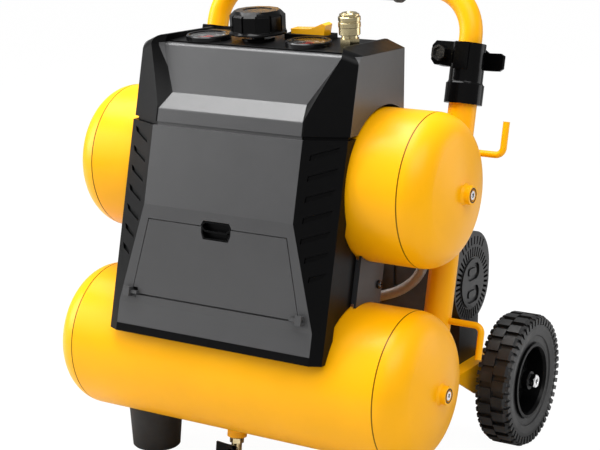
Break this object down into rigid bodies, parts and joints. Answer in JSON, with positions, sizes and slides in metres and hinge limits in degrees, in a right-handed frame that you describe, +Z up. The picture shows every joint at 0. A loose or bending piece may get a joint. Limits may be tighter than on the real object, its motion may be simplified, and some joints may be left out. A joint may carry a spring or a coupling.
{
  "type": "portable twin-tank air compressor",
  "caption": "Wheeled portable air compressor: stacked steel tanks under a bay-shaped shroud, with control deck, drop-down door, pump and telescopic handle.",
  "frame": {"origin": "on the floor, under the middle of the whole object's footprint box", "axes": "+Z up, +X to the right seen from the front, +Y to the back, where the wheels are"},
  "size_m": [0.525, 0.4285, 0.5959],
  "materials": {
    "yellow": "gloss powder coat",
    "grey_plastic": "fine satin grain",
    "black_plastic": "fine grain",
    "gloss_black": "semi gloss",
    "dark_steel": "satin paint",
    "black_steel": "gloss black paint",
    "zinc": "bright zinc",
    "braid": "woven stainless wire",
    "brass": "machined",
    "cast": "die cast",
    "iron": "painted casting",
    "steel_shaft": "ground",
    "rubber": "matt",
    "tyre": "matt",
    "lens": "clear",
    "needle": "red paint",
    "rocker": "gloss"
  },
  "bodies": {
    "frame": {"lower_tank": "yellow", "upper_tank": "yellow", "tank_plugs": "zinc", "tank_link": "zinc", "post_left": "yellow", "post_right": "yellow", "cord_hooks": "yellow", "base_plate": "yellow", "axle": "steel_shaft", "axle_nuts": "zinc", "rubber_feet": "rubber", "drain_valve": "brass", "clamp_left": "gloss_black", "clamp_right": "gloss_black", "clamp_bolts": "zinc", "front_cover": "grey_plastic", "vent_panel_left": "black_plastic", "vent_panel_right": "black_plastic", "side_plate_left": "dark_steel", "side_plate_right": "dark_steel", "control_housing": "grey_plastic", "hoop_left": "black_plastic", "hoop_right": "black_plastic", "control_panel": "black_plastic", "gauges": "black_steel", "gauge_lenses": "lens", "regulator": "gloss_black", "coupler_body": "brass", "manifold": "cast", "safety_valve": "brass", "pressure_switch": "black_plastic", "cord_gland": "black_plastic", "motor_housing": "iron", "fan_cover": "black_plastic", "crankcase": "iron", "cylinder": "cast", "cylinder_head": "cast", "braided_hose": "braid", "cover_screws": "zinc"},
    "handle": {"handle_tube": "yellow", "handle_grip": "rubber"},
    "lock_lever_left": {"lock_lever_left": "gloss_black"},
    "lock_lever_right": {"lock_lever_right": "gloss_black"},
    "service_door": {"service_door": "grey_plastic", "door_latch": "black_plastic"},
    "regulator_knob": {"regulator_knob": "gloss_black"},
    "switch_rocker": {"switch_rocker": "rocker"},
    "coupler_sleeve": {"coupler_sleeve": "brass"},
    "safety_ring": {"safety_ring": "steel_shaft"},
    "drain_lever": {"drain_lever": "black_plastic"},
    "tank_gauge_needle": {"tank_gauge_needle": "needle"},
    "outlet_gauge_needle": {"outlet_gauge_needle": "needle"},
    "crankshaft": {"crankshaft": "steel_shaft", "cooling_fan": "black_plastic"},
    "connecting_rod": {"connecting_rod": "cast"},
    "piston": {"piston": "cast"},
    "wheel_left": {"tyre_left": "tyre", "rim_left": "black_plastic"},
    "wheel_right": {"tyre_right": "tyre", "rim_right": "black_plastic"}
  },
  "joints": [
    {"name": "handle_slide", "type": "slide", "parent": "frame", "child": "handle", "axis": [0, 0.2198, 0.9755], "range_m": [0, 0.28]},
    {"name": "door_hinge", "type": "hinge", "parent": "frame", "child": "service_door", "pos_m": [0, -0.208, 0.22754], "axis": [1, 0, 0], "range_deg": [0, 100]},
    {"name": "lock_lever_right_hinge", "type": "hinge", "parent": "frame", "child": "lock_lever_right", "pos_m": [0.1527, 0.09513, 0.49145], "axis": [0, 0.2198, 0.9755], "range_deg": [0, 110]},
    {"name": "lock_lever_left_hinge", "type": "hinge", "parent": "frame", "child": "lock_lever_left", "pos_m": [-0.1527, 0.09513, 0.49145], "axis": [0, -0.2198, -0.9755], "range_deg": [0, 110]},
    {"name": "regulator_knob_turn", "type": "hinge", "parent": "frame", "child": "regulator_knob", "pos_m": [-0.022, -0.07077, 0.51633], "axis": [0, -0.0636, 0.998], "range_deg": [0, 270]},
    {"name": "rocker_press", "type": "hinge", "parent": "frame", "child": "switch_rocker", "pos_m": [0.035, -0.04502, 0.52198], "axis": [0, 0.998, 0.0636], "range_deg": [0, 15]},
    {"name": "coupler_sleeve_slide", "type": "slide", "parent": "frame", "child": "coupler_sleeve", "axis": [0, 0.0636, -0.998], "range_m": [0, 0.0035], "stiffness_N_per_m": 800, "springref_m": -0.003},
    {"name": "safety_ring_pull", "type": "slide", "parent": "frame", "child": "safety_ring", "axis": [0, 0.9966, -0.0819], "range_m": [0, 0.003], "stiffness_N_per_m": 1200, "springref_m": -0.003},
    {"name": "drain_lever_turn", "type": "hinge", "parent": "frame", "child": "drain_lever", "pos_m": [-0.02, -0.12879, 0.02403], "axis": [0, -0.9945, 0.1045], "range_deg": [0, 90]},
    {"name": "tank_gauge_turn", "type": "hinge", "parent": "frame", "child": "tank_gauge_needle", "pos_m": [-0.08, -0.08977, 0.51512], "axis": [0, 0.0636, -0.998], "range_deg": [0, 270]},
    {"name": "outlet_gauge_turn", "type": "hinge", "parent": "frame", "child": "outlet_gauge_needle", "pos_m": [0.057, -0.08677, 0.51531], "axis": [0, 0.0636, -0.998], "range_deg": [0, 270]},
    {"name": "crank_spin", "type": "hinge", "parent": "frame", "child": "crankshaft", "pos_m": [0, 0.10113, 0.2081], "axis": [1, 0, 0], "continuous": true},
    {"name": "rod_pin_turn", "type": "hinge", "parent": "crankshaft", "child": "connecting_rod", "pos_m": [0, 0.10913, 0.2081], "axis": [1, 0, 0], "continuous": true},
    {"name": "piston_slide", "type": "slide", "parent": "frame", "child": "piston", "axis": [0, 0, 1], "range_m": [-0.008, 0.008]},
    {"name": "wheel_left_spin", "type": "hinge", "parent": "frame", "child": "wheel_left", "pos_m": [0, 0.13023, 0.084], "axis": [1, 0, 0], "continuous": true},
    {"name": "wheel_right_spin", "type": "hinge", "parent": "frame", "child": "wheel_right", "pos_m": [0, 0.13023, 0.084], "axis": [1, 0, 0], "continuous": true}
  ],
  "couplings": [
    {"joint": "rod_pin_turn", "follows": "crank_spin", "ratio": -1}
  ]
}
